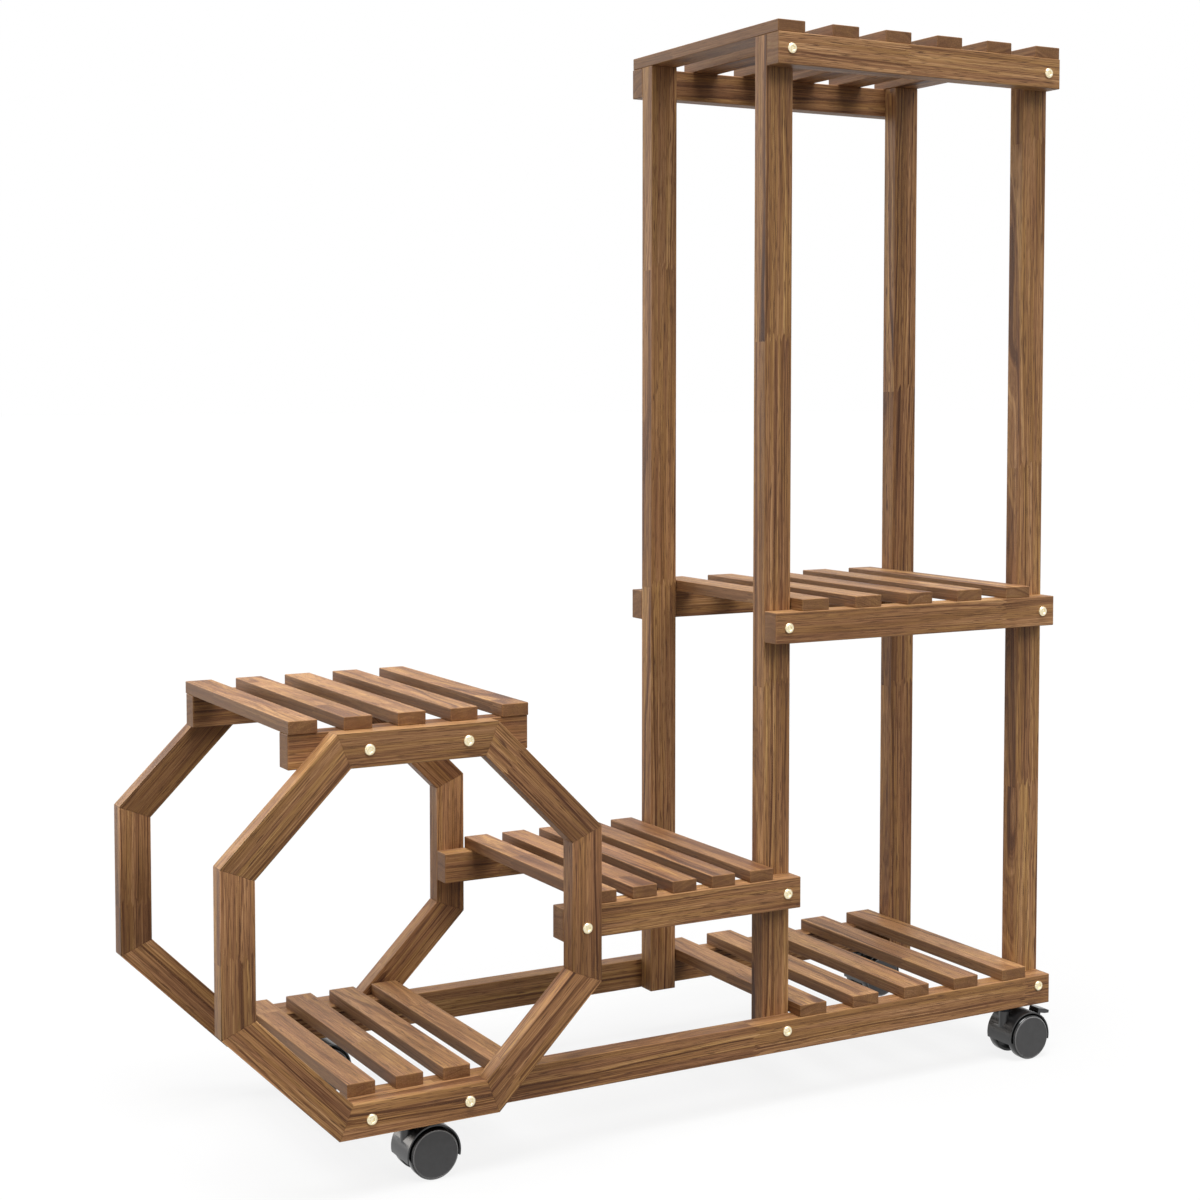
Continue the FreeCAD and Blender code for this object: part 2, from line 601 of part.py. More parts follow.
for item in doc.Objects:
    if "Invalid" in item.State or "Error" in item.State:
        raise RuntimeError(f"{item.Label} did not build")
os.makedirs("parts", exist_ok=True)
for piece in pieces:
    if piece.Shape.isNull() or not piece.Shape.isValid() or not piece.Shape.Solids:
        raise RuntimeError(f"{piece.Label} has no sound shape")
    expected = len(groups.get(piece.Label, [1]))
    if len(piece.Shape.Solids) != expected:
        raise RuntimeError(f"{piece.Label} has {len(piece.Shape.Solids)} solids, not {expected}")
    piece.Shape.exportStep(f"parts/{piece.Label}.step")
print(len(pieces), "pieces written")
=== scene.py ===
import math

import bmesh
import bpy
from mathutils import Matrix, Vector


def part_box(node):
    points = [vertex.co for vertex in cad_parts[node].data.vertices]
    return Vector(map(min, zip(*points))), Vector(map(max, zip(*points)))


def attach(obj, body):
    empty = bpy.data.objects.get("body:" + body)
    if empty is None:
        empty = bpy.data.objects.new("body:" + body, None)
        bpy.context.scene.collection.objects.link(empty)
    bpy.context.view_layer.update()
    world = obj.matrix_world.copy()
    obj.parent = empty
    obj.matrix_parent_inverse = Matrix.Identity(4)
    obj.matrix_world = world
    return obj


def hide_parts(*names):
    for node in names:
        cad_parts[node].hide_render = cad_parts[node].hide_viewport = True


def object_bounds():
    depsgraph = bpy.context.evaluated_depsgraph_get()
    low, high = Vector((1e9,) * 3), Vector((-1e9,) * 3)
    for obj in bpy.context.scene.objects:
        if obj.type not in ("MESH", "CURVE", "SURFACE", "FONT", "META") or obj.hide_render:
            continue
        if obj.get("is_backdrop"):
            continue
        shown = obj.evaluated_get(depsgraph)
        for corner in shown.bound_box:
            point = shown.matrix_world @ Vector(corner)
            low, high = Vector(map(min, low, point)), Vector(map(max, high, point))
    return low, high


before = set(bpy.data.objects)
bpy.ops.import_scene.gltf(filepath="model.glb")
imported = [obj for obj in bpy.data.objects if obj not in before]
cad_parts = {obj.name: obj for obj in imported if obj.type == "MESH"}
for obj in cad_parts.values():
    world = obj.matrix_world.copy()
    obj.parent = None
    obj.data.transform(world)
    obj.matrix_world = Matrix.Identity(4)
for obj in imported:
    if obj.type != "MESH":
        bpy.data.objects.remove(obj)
cad_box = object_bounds()


# Posts: four uprights sawn from finger-jointed fir, planed square, sanded and stained walnut brown.
# They stand inside the rails, and bolts through the rails hold all three tower shelves to them.
SANDED_EDGE = 0.0008
boards_sawn = []


def linear(hex_colour):
    """An sRGB hex colour as linear red, green, blue and alpha."""
    parts = [int(hex_colour[place:place + 2], 16) / 255 for place in (1, 3, 5)]
    return (*[c / 12.92 if c <= 0.04045 else ((c + 0.055) / 1.055) ** 2.4 for c in parts], 1)


def add(tree, kind, inputs=None, **settings):
    """A shader node with its settings, and with inputs that are plain values or other nodes' outputs."""
    made = tree.nodes.new(kind)
    for name, value in settings.items():
        setattr(made, name, value)
    for name, value in (inputs or {}).items():
        if isinstance(value, bpy.types.NodeSocket):
            tree.links.new(value, made.inputs[name])
        else:
            made.inputs[name].default_value = value
    return made


def blank_material(name):
    """A new material with an empty node tree."""
    material = bpy.data.materials.new(name)
    material.use_nodes = True
    material.node_tree.nodes.clear()
    return material, material.node_tree


def surface(tree, look):
    """Closes a material: one surface with a look, joined to the output."""
    shader = add(tree, "ShaderNodeBsdfPrincipled", look)
    add(tree, "ShaderNodeOutputMaterial", {"Surface": shader.outputs[0]})


def colour_stops(ramp, stops):
    """Fills a colour ramp from pairs of place and hex colour."""
    ramp.color_ramp.elements.remove(ramp.color_ramp.elements[1])
    for number, (place, hex_colour) in enumerate(stops):
        elements = ramp.color_ramp.elements
        stop = elements[0] if number == 0 else elements.new(place)
        stop.position = place
        stop.color = linear(hex_colour)


# Fir under a walnut-brown wiping stain and a thin satin lacquer. The eye sees long straight streaks 2 to 4 mm
# wide, short open pores, a change of board at each finger joint, and paler stain along the sanded edges.
RING_MM = 3.4
BOLD_LINE_MM = 6
FIBRE_MM = (90, 0.8)
PATCH_MM = (300, 16)
TINT_MM = (180, 7)
PORE_MM = (18, 0.8)
DRIFT_MM = (170, 26)
DRIFT_SWAY_MM = 10
WAVE_MM = (38, 9)
WAVE_SWAY_MM = 1.1
PITH_LEAN = 0.03
PITH_SIDE_MM = (24, 90)
PITH_DEPTH_MM = 30
TREE_SPAN_MM = 400
LOG_SPAN_MM = 900
FINGER_PITCH_MM = 6
FINGER_STEEPNESS = 3
BLOCK_MM = 330
BLOCK_STAGGER = 0.381
BLOCKS_BEFORE = 40
MIDDLE_TONE = 0.289
FIBRE_SHARE = 0.5
PATCH_SHARE = 0.28
BLOCK_SHARE = 0.03
SAWN_RIM_MM = 0.5
# How far the soaked ends and the painted shade on the slat sides go towards the darker colour.
SOAK_AND_SHADE = 0.6
THIN_BOARD_MM = 15

stained_fir, tree = blank_material("stained walnut-brown fir")
grain = add(tree, "ShaderNodeAttribute", attribute_name="grain").outputs["Vector"]
half = add(tree, "ShaderNodeAttribute", attribute_name="half_size").outputs["Vector"]
board = add(tree, "ShaderNodeAttribute", attribute_name="board").outputs["Fac"]
place = add(tree, "ShaderNodeSeparateXYZ", {0: grain})
along, across, through = (place.outputs[axis] for axis in "XYZ")

# The finger joints: blocks of wood end in teeth, and each block has its own random values.
tooth = add(tree, "ShaderNodeMath", {0: across, 1: FINGER_PITCH_MM / 2}, operation="PINGPONG")
teeth = {0: tooth.outputs[0], 1: FINGER_STEEPNESS, 2: along}
tip = add(tree, "ShaderNodeMath", teeth, operation="MULTIPLY_ADD")
lag = add(tree, "ShaderNodeMath", {0: board, 1: BLOCK_STAGGER, 2: BLOCKS_BEFORE}, operation="MULTIPLY_ADD")
blocks = {0: tip.outputs[0], 1: 1 / BLOCK_MM, 2: lag.outputs[0]}
stretch = add(tree, "ShaderNodeMath", blocks, operation="MULTIPLY_ADD")
block = add(tree, "ShaderNodeMath", {0: stretch.outputs[0]}, operation="FLOOR")
key = add(tree, "ShaderNodeCombineXYZ", {"X": block.outputs[0], "Y": board})
luck = add(tree, "ShaderNodeTexWhiteNoise", {"Vector": key.outputs[0]}, noise_dimensions="3D")
lucky = add(tree, "ShaderNodeSeparateColor", {"Color": luck.outputs["Color"]})
red, green, blue = (lucky.outputs[name] for name in ("Red", "Green", "Blue"))
log_span = {0: luck.outputs["Color"], 1: (LOG_SPAN_MM, LOG_SPAN_MM, LOG_SPAN_MM)}
shuffle = add(tree, "ShaderNodeVectorMath", log_span, operation="MULTIPLY")
stock = add(tree, "ShaderNodeVectorMath", {0: grain, 1: shuffle.outputs[0]}, operation="ADD").outputs[0]


def streaks(long_mm, fine_mm, detail):
    """Noise drawn out along the grain: its length and its width in millimetres."""
    scale = (1 / long_mm, 1 / fine_mm, 1 / fine_mm)
    drawn = add(tree, "ShaderNodeVectorMath", {0: stock, 1: scale}, operation="MULTIPLY")
    settings = {"Vector": drawn.outputs[0], "Scale": 1, "Detail": detail, "Roughness": 0.55}
    return add(tree, "ShaderNodeTexNoise", settings).outputs["Fac"]


# The growth rings: distance from a leaning pith line beside the board, bent by a slow drift and a short wave.
swayed = across
for size_mm, sway_mm in ((DRIFT_MM, DRIFT_SWAY_MM), (WAVE_MM, WAVE_SWAY_MM)):
    sway = {0: streaks(*size_mm, 1), 1: sway_mm, 2: swayed}
    swayed = add(tree, "ShaderNodeMath", sway, operation="MULTIPLY_ADD").outputs[0]
lean = add(tree, "ShaderNodeMapRange", {"Value": green, "To Min": -PITH_LEAN, "To Max": PITH_LEAN})
tilt = {0: along, 1: lean.outputs[0], 2: swayed}
tilted = add(tree, "ShaderNodeMath", tilt, operation="MULTIPLY_ADD")
side_span = {"Value": red, "To Min": PITH_SIDE_MM[0], "To Max": PITH_SIDE_MM[1]}
pith_side = add(tree, "ShaderNodeMapRange", side_span)
deep_span = {"Value": blue, "To Min": -PITH_DEPTH_MM, "To Max": PITH_DEPTH_MM}
pith_deep = add(tree, "ShaderNodeMapRange", deep_span)
from_side = add(tree, "ShaderNodeMath", {0: tilted.outputs[0], 1: pith_side.outputs[0]}, operation="ADD")
from_deep = add(tree, "ShaderNodeMath", {0: through, 1: pith_deep.outputs[0]}, operation="ADD")
spoke = add(tree, "ShaderNodeCombineXYZ", {"X": from_side.outputs[0], "Y": from_deep.outputs[0]})
radius = add(tree, "ShaderNodeVectorMath", {0: spoke.outputs[0]}, operation="LENGTH").outputs["Value"]
turn = add(tree, "ShaderNodeMath", {0: red, 1: TREE_SPAN_MM, 2: radius}, operation="MULTIPLY_ADD")
ring_place = add(tree, "ShaderNodeMath", {0: turn.outputs[0], 1: 1 / RING_MM}, operation="MULTIPLY")
rings = add(
    tree,
    "ShaderNodeTexNoise",
    {"W": ring_place.outputs[0], "Scale": 1, "Detail": 4, "Roughness": 0.74},
    noise_dimensions="1D",
).outputs["Fac"]

# Bold lines: a few rings, far apart, that grew late in the year and took the stain much darker.
bold_place = add(tree, "ShaderNodeMath", {0: turn.outputs[0], 1: 1 / BOLD_LINE_MM}, operation="MULTIPLY")
late = add(
    tree,
    "ShaderNodeTexNoise",
    {"W": bold_place.outputs[0], "Scale": 1, "Detail": 2, "Roughness": 0.6},
    noise_dimensions="1D",
).outputs["Fac"]
bold = add(
    tree,
    "ShaderNodeMapRange",
    {"Value": late, "From Min": 0.31, "From Max": 0.4, "To Min": -0.13, "To Max": 0},
).outputs[0]

# The tone: rings, fibres, slow patches, the block's own tone, and the board's tone with its painted light and
# shade, laid over each other.
fibre = streaks(*FIBRE_MM, 2)
patch = streaks(*PATCH_MM, 1)
tone_and_painted_light = add(tree, "ShaderNodeAttribute", attribute_name="tone_and_painted_light").outputs["Fac"]
figure = add(tree, "ShaderNodeAttribute", attribute_name="figure").outputs["Fac"]
swing = add(tree, "ShaderNodeMath", {0: rings, 1: 0.5}, operation="SUBTRACT")
tone = add(tree, "ShaderNodeMath", {0: swing.outputs[0], 1: figure, 2: MIDDLE_TONE}, operation="MULTIPLY_ADD")
# The board's tone carries painted light and shade: some boards are made paler or darker for the light that
# falls on them.
layers = ((fibre, FIBRE_SHARE), (patch, PATCH_SHARE), (blue, BLOCK_SHARE), (bold, 1), (tone_and_painted_light, 1))
for part, share in layers:
    tone = add(tree, "ShaderNodeMath", {0: part, 1: share, 2: tone.outputs[0]}, operation="MULTIPLY_ADD")
shade = add(tree, "ShaderNodeValToRGB", {"Fac": tone.outputs[0]})
colour_stops(
    shade,
    (
        (0.48, "#432917"),
        (0.57, "#644229"),
        (0.635, "#815d3e"),
        (0.69, "#98724c"),
        (0.77, "#ae875a"),
        (0.88, "#d3ae7c"),
    ),
)

# The tint: rosy brown and ochre in broad streaks side by side, as the stain took to sap and heart wood.
tint = add(tree, "ShaderNodeValToRGB", {"Fac": streaks(*TINT_MM, 1)})
colour_stops(tint, ((0.38, "#fff5fb"), (0.62, "#fff8e8")))
shade = add(
    tree,
    "ShaderNodeMix",
    {"Factor": 1, "A": shade.outputs["Color"], "B": tint.outputs["Color"]},
    data_type="RGBA",
    blend_type="MULTIPLY",
)
pore = add(tree, "ShaderNodeMapRange", {"Value": streaks(*PORE_MM, 1), "From Min": 0.56, "From Max": 0.7})
pored = add(
    tree,
    "ShaderNodeMix",
    {"Factor": pore.outputs[0], "A": shade.outputs["Result"], "B": linear("#5b3d29")},
    data_type="RGBA",
)

# The sanded edges: how far a point lies from its nearest edge, the middle one of three distances.
size = add(tree, "ShaderNodeVectorMath", {0: grain}, operation="ABSOLUTE")
inset = add(tree, "ShaderNodeVectorMath", {0: half, 1: size.outputs[0]}, operation="SUBTRACT")
rim = add(tree, "ShaderNodeSeparateXYZ", {0: inset.outputs[0]})
low = add(tree, "ShaderNodeMath", {0: rim.outputs["X"], 1: rim.outputs["Y"]}, operation="MINIMUM")
high = add(tree, "ShaderNodeMath", {0: rim.outputs["X"], 1: rim.outputs["Y"]}, operation="MAXIMUM")
other = add(tree, "ShaderNodeMath", {0: high.outputs[0], 1: rim.outputs["Z"]}, operation="MINIMUM")
edge = add(tree, "ShaderNodeMath", {0: low.outputs[0], 1: other.outputs[0]}, operation="MAXIMUM")
worn = add(tree, "ShaderNodeMath", {0: fibre, 1: -1.6, 2: edge.outputs[0]}, operation="MULTIPLY_ADD")
wear_and_painted_light = add(
    tree,
    "ShaderNodeMapRange",
    {"Value": worn.outputs[0], "From Min": -0.3, "From Max": 0.9, "To Min": 0.3, "To Max": 0},
)
stain = add(
    tree,
    "ShaderNodeMix",
    {"Factor": wear_and_painted_light.outputs[0], "A": pored.outputs["Result"], "B": linear("#b3865a")},
    data_type="RGBA",
)

# The sawn ends of every board drink more stain and dry darker. The side faces of the thin slats are darkened
# the same way as painted shade, the shade between neighbouring slats.
thin = add(tree, "ShaderNodeSeparateXYZ", {0: half})
thin = add(tree, "ShaderNodeMath", {0: thin.outputs["Y"], 1: THIN_BOARD_MM / 2}, operation="LESS_THAN")
fade = {"From Max": SAWN_RIM_MM, "To Min": 1, "To Max": 0}
sawn_end = add(tree, "ShaderNodeMapRange", {"Value": rim.outputs["X"], **fade})
slat_side_shade = add(tree, "ShaderNodeMapRange", {"Value": rim.outputs["Z"], **fade})
# Painted shade: the whole side face of each thin slat is darkened.
slat_side_shade = add(tree, "ShaderNodeMath", {0: slat_side_shade.outputs[0], 1: thin.outputs[0]}, operation="MULTIPLY")
sawn = add(tree, "ShaderNodeMath", {0: sawn_end.outputs[0], 1: slat_side_shade.outputs[0]}, operation="MAXIMUM")
soak_and_painted_shade = add(tree, "ShaderNodeMath", {0: sawn.outputs[0], 1: SOAK_AND_SHADE}, operation="MULTIPLY")
# One darker colour serves both the soaked ends and the painted shade on the slat sides.
stain = add(
    tree,
    "ShaderNodeMix",
    {"Factor": soak_and_painted_shade.outputs[0], "A": stain.outputs["Result"], "B": linear("#704d30")},
    data_type="RGBA",
)
gloss = add(tree, "ShaderNodeMapRange", {"Value": fibre, "To Min": 0.42, "To Max": 0.62})
dents = {0: pore.outputs[0], 1: -0.8, 2: tone.outputs[0]}
relief = add(tree, "ShaderNodeMath", dents, operation="MULTIPLY_ADD")
bump = add(tree, "ShaderNodeBump", {"Height": relief.outputs[0], "Strength": 0.35, "Distance": 0.0004})
surface(
    tree,
    {
        "Base Color": stain.outputs["Result"],
        "Roughness": gloss.outputs[0],
        "IOR": 1.45,
        "Specular IOR Level": 0.3,
        "Normal": bump.outputs[0],
    },
)


def saw(middle, along, across, long_half, short_half, width_half, depth_half, ends_sanded=True):
    """One board: points, faces and grain places. Across points to its longer edge; mitred ends stay sharp."""
    through = along.cross(across)
    mesh = bmesh.new()
    corners = {}
    for end in (-1, 1):
        for edge in (-1, 1):
            reach = long_half if edge > 0 else short_half
            for face in (-1, 1):
                point = middle + along * end * reach + across * edge * width_half
                corners[end, edge, face] = mesh.verts.new(point + through * face * depth_half)
    for ring in (
        [(-1, -1, -1), (-1, 1, -1), (-1, 1, 1), (-1, -1, 1)],
        [(1, -1, -1), (1, 1, -1), (1, 1, 1), (1, -1, 1)],
        [(-1, -1, -1), (1, -1, -1), (1, -1, 1), (-1, -1, 1)],
        [(-1, 1, -1), (1, 1, -1), (1, 1, 1), (-1, 1, 1)],
        [(-1, -1, -1), (1, -1, -1), (1, 1, -1), (-1, 1, -1)],
        [(-1, -1, 1), (1, -1, 1), (1, 1, 1), (-1, 1, 1)],
    ):
        mesh.faces.new([corners[key] for key in ring])
    bmesh.ops.recalc_face_normals(mesh, faces=mesh.faces)
    if ends_sanded:
        edges = list(mesh.edges)
    else:
        edges = [
            mesh.edges.get((corners[-1, edge, face], corners[1, edge, face]))
            for edge in (-1, 1)
            for face in (-1, 1)
        ]
    bmesh.ops.bevel(mesh, geom=edges, offset=SANDED_EDGE, segments=2, profile=0.5, affect="EDGES")
    mesh.verts.index_update()
    points = [vert.co.copy() for vert in mesh.verts]
    faces = [[vert.index for vert in face.verts] for face in mesh.faces]
    mesh.free()
    axes = (along, across, through)
    places = [[(point - middle).dot(axis) * 1000 for axis in axes] for point in points]
    return points, faces, places, [side * 1000 for side in (long_half, width_half, depth_half)]


def straight_board(low, high, flat_sawn=False):
    """A square-ended board filling a box, with its grain lengthways; flat-sawn rings lie along its face."""
    spans = sorted(range(3), key=lambda axis: low[axis] - high[axis])
    if flat_sawn:
        spans = [spans[0], spans[2], spans[1]]
    along, across = (Vector([1 if axis == span else 0 for axis in range(3)]) for span in spans[:2])
    halves = [(high[span] - low[span]) / 2 for span in spans]
    return saw((low + high) / 2, along, across, halves[0], halves[0], halves[1], halves[2])


# Boards made paler or darker than the rest. Part of it is painted light and shade: the front top rail and
# front right post are paler, as if lit more from above and the right, and the front octagon's bottom bar is
# darker, as if in shade near the floor. The other values only shift a board's tone.
TONES_AND_PAINTED_LIGHT = {
    "front_top_rail": 0.068,
    "front_middle_rail": 0.026,
    "front_right_post": 0.038,
    "rear_left_post": 0.044,
    "front_octagon_top": 0.03,
    "front_octagon_bottom": -0.035,
    "rear_octagon_left": -0.035,
    "step_slats": -0.034,
    "middle_slats": 0.03,
    "deck_slats": 0.014,
}

# How strongly the rings are drawn in boards for each use: bold in the posts, calmest in the octagons.
FIGURE = {"post": 0.5, "rail": 0.42, "octagon": 0.29, "slats": 0.4}


def timber(node, boards):
    """One object of the boards that stand for a node, stained and riding on the frame."""
    points, faces, places, halves, numbers = [], [], [], [], []
    figure = [strength for use, strength in FIGURE.items() if use in node][-1]
    for board_points, board_faces, board_places, board_half in boards:
        start = len(points)
        boards_sawn.append(node)
        points += board_points
        faces += [[start + corner for corner in face] for face in board_faces]
        places += board_places
        halves += [board_half] * len(board_points)
        numbers += [float(len(boards_sawn))] * len(board_points)
    mesh = bpy.data.meshes.new(node + "_wood")
    mesh.from_pydata(points, [], faces)
    for name, kind, field, values in (
        ("grain", "FLOAT_VECTOR", "vector", [value for row in places for value in row]),
        ("half_size", "FLOAT_VECTOR", "vector", [value for row in halves for value in row]),
        ("board", "FLOAT", "value", numbers),
        ("tone_and_painted_light", "FLOAT", "value", [TONES_AND_PAINTED_LIGHT.get(node, 0)] * len(points)),
        ("figure", "FLOAT", "value", [figure] * len(points)),
    ):
        mesh.attributes.new(name, kind, "POINT").data.foreach_set(field, values)
    mesh.shade_smooth()
    mesh.materials.append(stained_fir)
    piece = bpy.data.objects.new(node + "_wood", mesh)
    bpy.context.collection.objects.link(piece)
    piece.modifiers.new("flat faces", "WEIGHTED_NORMAL")
    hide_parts(node)
    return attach(piece, "frame")


for side in ("front", "rear"):
    for hand in ("left", "right"):
        timber(f"{side}_{hand}_post", [straight_board(*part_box(f"{side}_{hand}_post"))])


# Rails: five pairs of fir boards on edge, outside the posts, that carry the slats of every shelf.
# The long bottom pair ties the octagon to the tower and takes the casters.
for side in ("front", "rear"):
    for rail in ("bottom", "step", "middle", "top", "octagon"):
        timber(f"{side}_{rail}_rail", [straight_board(*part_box(f"{side}_{rail}_rail"))])


# Octagon frames: eight fir bars each, mitred at 22.5 degrees, glued and dowelled into a ring.
# One lies flat against the outside of the rails at the front and one at the rear.
MITRE_LINE = 0.00012
MITRE_SLOPE = math.tan(math.radians(22.5))
AROUND = ("top", "upper_right", "right", "lower_right", "bottom", "lower_left", "left", "upper_left")

for side in ("front", "rear"):
    boxes = {name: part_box(f"{side}_octagon_{name}") for name in AROUND}
    (left_low, left_high), (right_low, right_high) = boxes["left"], boxes["right"]
    (bottom_low, bottom_high), (top_low, top_high) = boxes["bottom"], boxes["top"]
    corners = [
        (top_high.x, top_high.z),
        (right_high.x, right_high.z),
        (right_high.x, right_low.z),
        (bottom_high.x, bottom_low.z),
        (bottom_low.x, bottom_low.z),
        (left_low.x, left_low.z),
        (left_low.x, left_high.z),
        (top_low.x, top_high.z),
    ]
    bar_width = top_high.z - top_low.z
    depth_half = (top_high.y - top_low.y) / 2
    level = (top_high.y + top_low.y) / 2
    for number, name in enumerate(AROUND):
        start = Vector((corners[number - 1][0], level, corners[number - 1][1]))
        end = Vector((corners[number][0], level, corners[number][1]))
        along = (end - start).normalized()
        outward = along.cross(Vector((0, 1, 0)))
        middle = (start + end) / 2 - outward * bar_width / 2
        long_half = (end - start).length / 2 - MITRE_LINE
        short_half = long_half - bar_width * MITRE_SLOPE
        halves = (long_half, short_half, bar_width / 2, depth_half)
        bar = saw(middle, along, outward, *halves, ends_sanded=False)
        timber(f"{side}_octagon_{name}", [bar])


# Slats: thin fir boards laid across each pair of rails and dowelled down from below.
# Six make the top shelf, five each the middle, deck, step and octagon shelves, four the octagon's floor.
def separate_boxes(node):
    """Lowest and highest corner of every separate solid in a node, from left to right."""
    mesh = bmesh.new()
    mesh.from_mesh(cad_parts[node].data)
    bmesh.ops.remove_doubles(mesh, verts=mesh.verts, dist=0.000002)
    waiting = set(mesh.verts)
    found = []
    while waiting:
        heap = [waiting.pop()]
        reached = []
        while heap:
            vert = heap.pop()
            reached.append(vert.co.copy())
            for edge in vert.link_edges:
                beside = edge.other_vert(vert)
                if beside in waiting:
                    waiting.remove(beside)
                    heap.append(beside)
        low = Vector([min(point[axis] for point in reached) for axis in range(3)])
        high = Vector([max(point[axis] for point in reached) for axis in range(3)])
        found.append((low, high))
    mesh.free()
    return sorted(found, key=lambda pair: (round(pair[0].y, 4), pair[0].x))


for shelf in ("top", "middle", "deck", "step", "octagon_shelf", "octagon_floor"):
    boards = [straight_board(low, high, flat_sawn=True) for low, high in separate_boxes(f"{shelf}_slats")]
    timber(f"{shelf}_slats", boards)


# Connector bolts: turned and brass-plated, with a wide shallow head and a hex socket. Each is pushed through
# the outer piece and screwed into a threaded insert in the piece behind.
HEAD_HEIGHT = 0.0022
SHANK_RADIUS = 0.003
SOCKET_FLATS = 0.004
SOCKET_DEPTH = 0.0011
AROUND_BOLT = 48


def mottle(tree, patch_mm, detail):
    """Noise in an object's own space, with patches of about a size in millimetres."""
    where = add(tree, "ShaderNodeTexCoord").outputs["Object"]
    settings = {"Vector": where, "Scale": 1000 / patch_mm, "Detail": detail}
    return add(tree, "ShaderNodeTexNoise", settings).outputs["Fac"]


# Brass plate over turned steel, polished on the rim and finely turned on the face: a warm pale cream shine.
bolt_brass, tree = blank_material("pale brass plate")
specks = mottle(tree, 1.2, 3)
plate = add(tree, "ShaderNodeValToRGB", {"Fac": specks})
colour_stops(plate, ((0.3, "#d8c79a"), (0.5, "#efe3c0"), (0.7, "#fbf4de")))
polish = add(tree, "ShaderNodeMapRange", {"Value": specks, "To Min": 0.22, "To Max": 0.42})
tool_marks = add(tree, "ShaderNodeBump", {"Height": specks, "Strength": 0.15, "Distance": 0.0001})
surface(
    tree,
    {
        "Base Color": plate.outputs["Color"],
        "Metallic": 1,
        "Roughness": polish.outputs[0],
        "Normal": tool_marks.outputs[0],
    },
)


def hexagon_reach(angle):
    """How far a hex socket's wall is from its middle at an angle."""
    within = (angle + math.pi / 6) % (math.pi / 3) - math.pi / 6
    return SOCKET_FLATS / 2 / math.cos(within)


def turned(rings, frame_of, sides):
    """Points and faces of a turned piece: rings of height and reach, closed at both ends."""
    points, faces = [], []
    for height, reach in rings:
        for number in range(sides):
            angle = 2 * math.pi * number / sides
            far = reach(angle) if callable(reach) else reach
            points.append(frame_of @ Vector((far * math.cos(angle), far * math.sin(angle), height)))
    for ring in range(len(rings) - 1):
        for number in range(sides):
            beside = (number + 1) % sides
            low, high = ring * sides, (ring + 1) * sides
            faces.append([low + number, low + beside, high + beside, high + number])
    faces.append(list(range(sides))[::-1])
    faces.append([(len(rings) - 1) * sides + number for number in range(sides)])
    return points, faces


def assemble(name, parts, material, body, nodes, soft_angle=35):
    """One object of turned or built parts that rides on a body and stands for nodes."""
    points, faces = [], []
    for part_points, part_faces in parts:
        start = len(points)
        points += part_points
        faces += [[start + corner for corner in face] for face in part_faces]
    mesh = bpy.data.meshes.new(name)
    mesh.from_pydata(points, [], faces)
    mesh.materials.append(material)
    mesh.shade_smooth()
    mesh.set_sharp_from_angle(angle=math.radians(soft_angle))
    piece = bpy.data.objects.new(name, mesh)
    bpy.context.collection.objects.link(piece)
    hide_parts(*nodes)
    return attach(piece, body)


bolts = []
for low, high in separate_boxes("connector_bolts"):
    at_front = low.y < 0
    face = low.y + HEAD_HEIGHT if at_front else high.y - HEAD_HEIGHT
    length = high.y - low.y - HEAD_HEIGHT
    head_radius = (high.x - low.x) / 2
    facing = Matrix.Rotation(math.radians(90 if at_front else -90), 4, "X")
    stand = Matrix.Translation(((low.x + high.x) / 2, face, (low.z + high.z) / 2)) @ facing
    rings = [
        (-length, SHANK_RADIUS - 0.0006),
        (-length + 0.0008, SHANK_RADIUS),
        (0, SHANK_RADIUS),
        (0, head_radius),
        (0.0005, head_radius),
        (0.0010, head_radius - 0.0001),
        (0.0015, head_radius - 0.0004),
        (0.0019, head_radius - 0.0010),
        (0.0021, head_radius - 0.0016),
        (HEAD_HEIGHT, SOCKET_FLATS / 2 + 0.0008),
        (0.0020, lambda angle: hexagon_reach(angle) + 0.0002),
        (0.0018, hexagon_reach),
        (HEAD_HEIGHT - SOCKET_DEPTH, hexagon_reach),
    ]
    bolts.append(turned(rings, stand, AROUND_BOLT))
assemble("connector_bolts_brass", bolts, bolt_brass, "frame", ["connector_bolts"])


# Threaded inserts and dowels: zinc sleeves glued into the posts, rails and stem holes, and beech pins under
# the slats and across the mitres. They stay as built, because the wood closes over them.

# Zinc plate on steel: bluish grey and half bright, with a fine spangle.
zinc, tree = blank_material("zinc-plated steel")
spangle = mottle(tree, 2, 4)
dull = add(tree, "ShaderNodeValToRGB", {"Fac": spangle})
colour_stops(dull, ((0.35, "#8d9094"), (0.65, "#b9bcc0")))
frost = add(tree, "ShaderNodeMapRange", {"Value": spangle, "To Min": 0.3, "To Max": 0.5})
surface(tree, {"Base Color": dull.outputs["Color"], "Metallic": 1, "Roughness": frost.outputs[0]})

# Beech, turned and fluted: pale, with short dark flecks along the pin.
beech, tree = blank_material("turned beech")
where = add(tree, "ShaderNodeTexCoord").outputs["Object"]
fleck_scale = (1 / 0.0008, 1 / 0.0008, 1 / 0.006)
drawn = add(tree, "ShaderNodeVectorMath", {0: where, 1: fleck_scale}, operation="MULTIPLY")
fleck = add(tree, "ShaderNodeTexNoise", {"Vector": drawn.outputs[0], "Scale": 1, "Detail": 2}).outputs["Fac"]
pale = add(tree, "ShaderNodeValToRGB", {"Fac": fleck})
colour_stops(pale, ((0.35, "#b98a5e"), (0.6, "#d8b48a")))
dry = add(tree, "ShaderNodeMapRange", {"Value": fleck, "To Min": 0.55, "To Max": 0.75})
surface(tree, {"Base Color": pale.outputs["Color"], "Roughness": dry.outputs[0]})


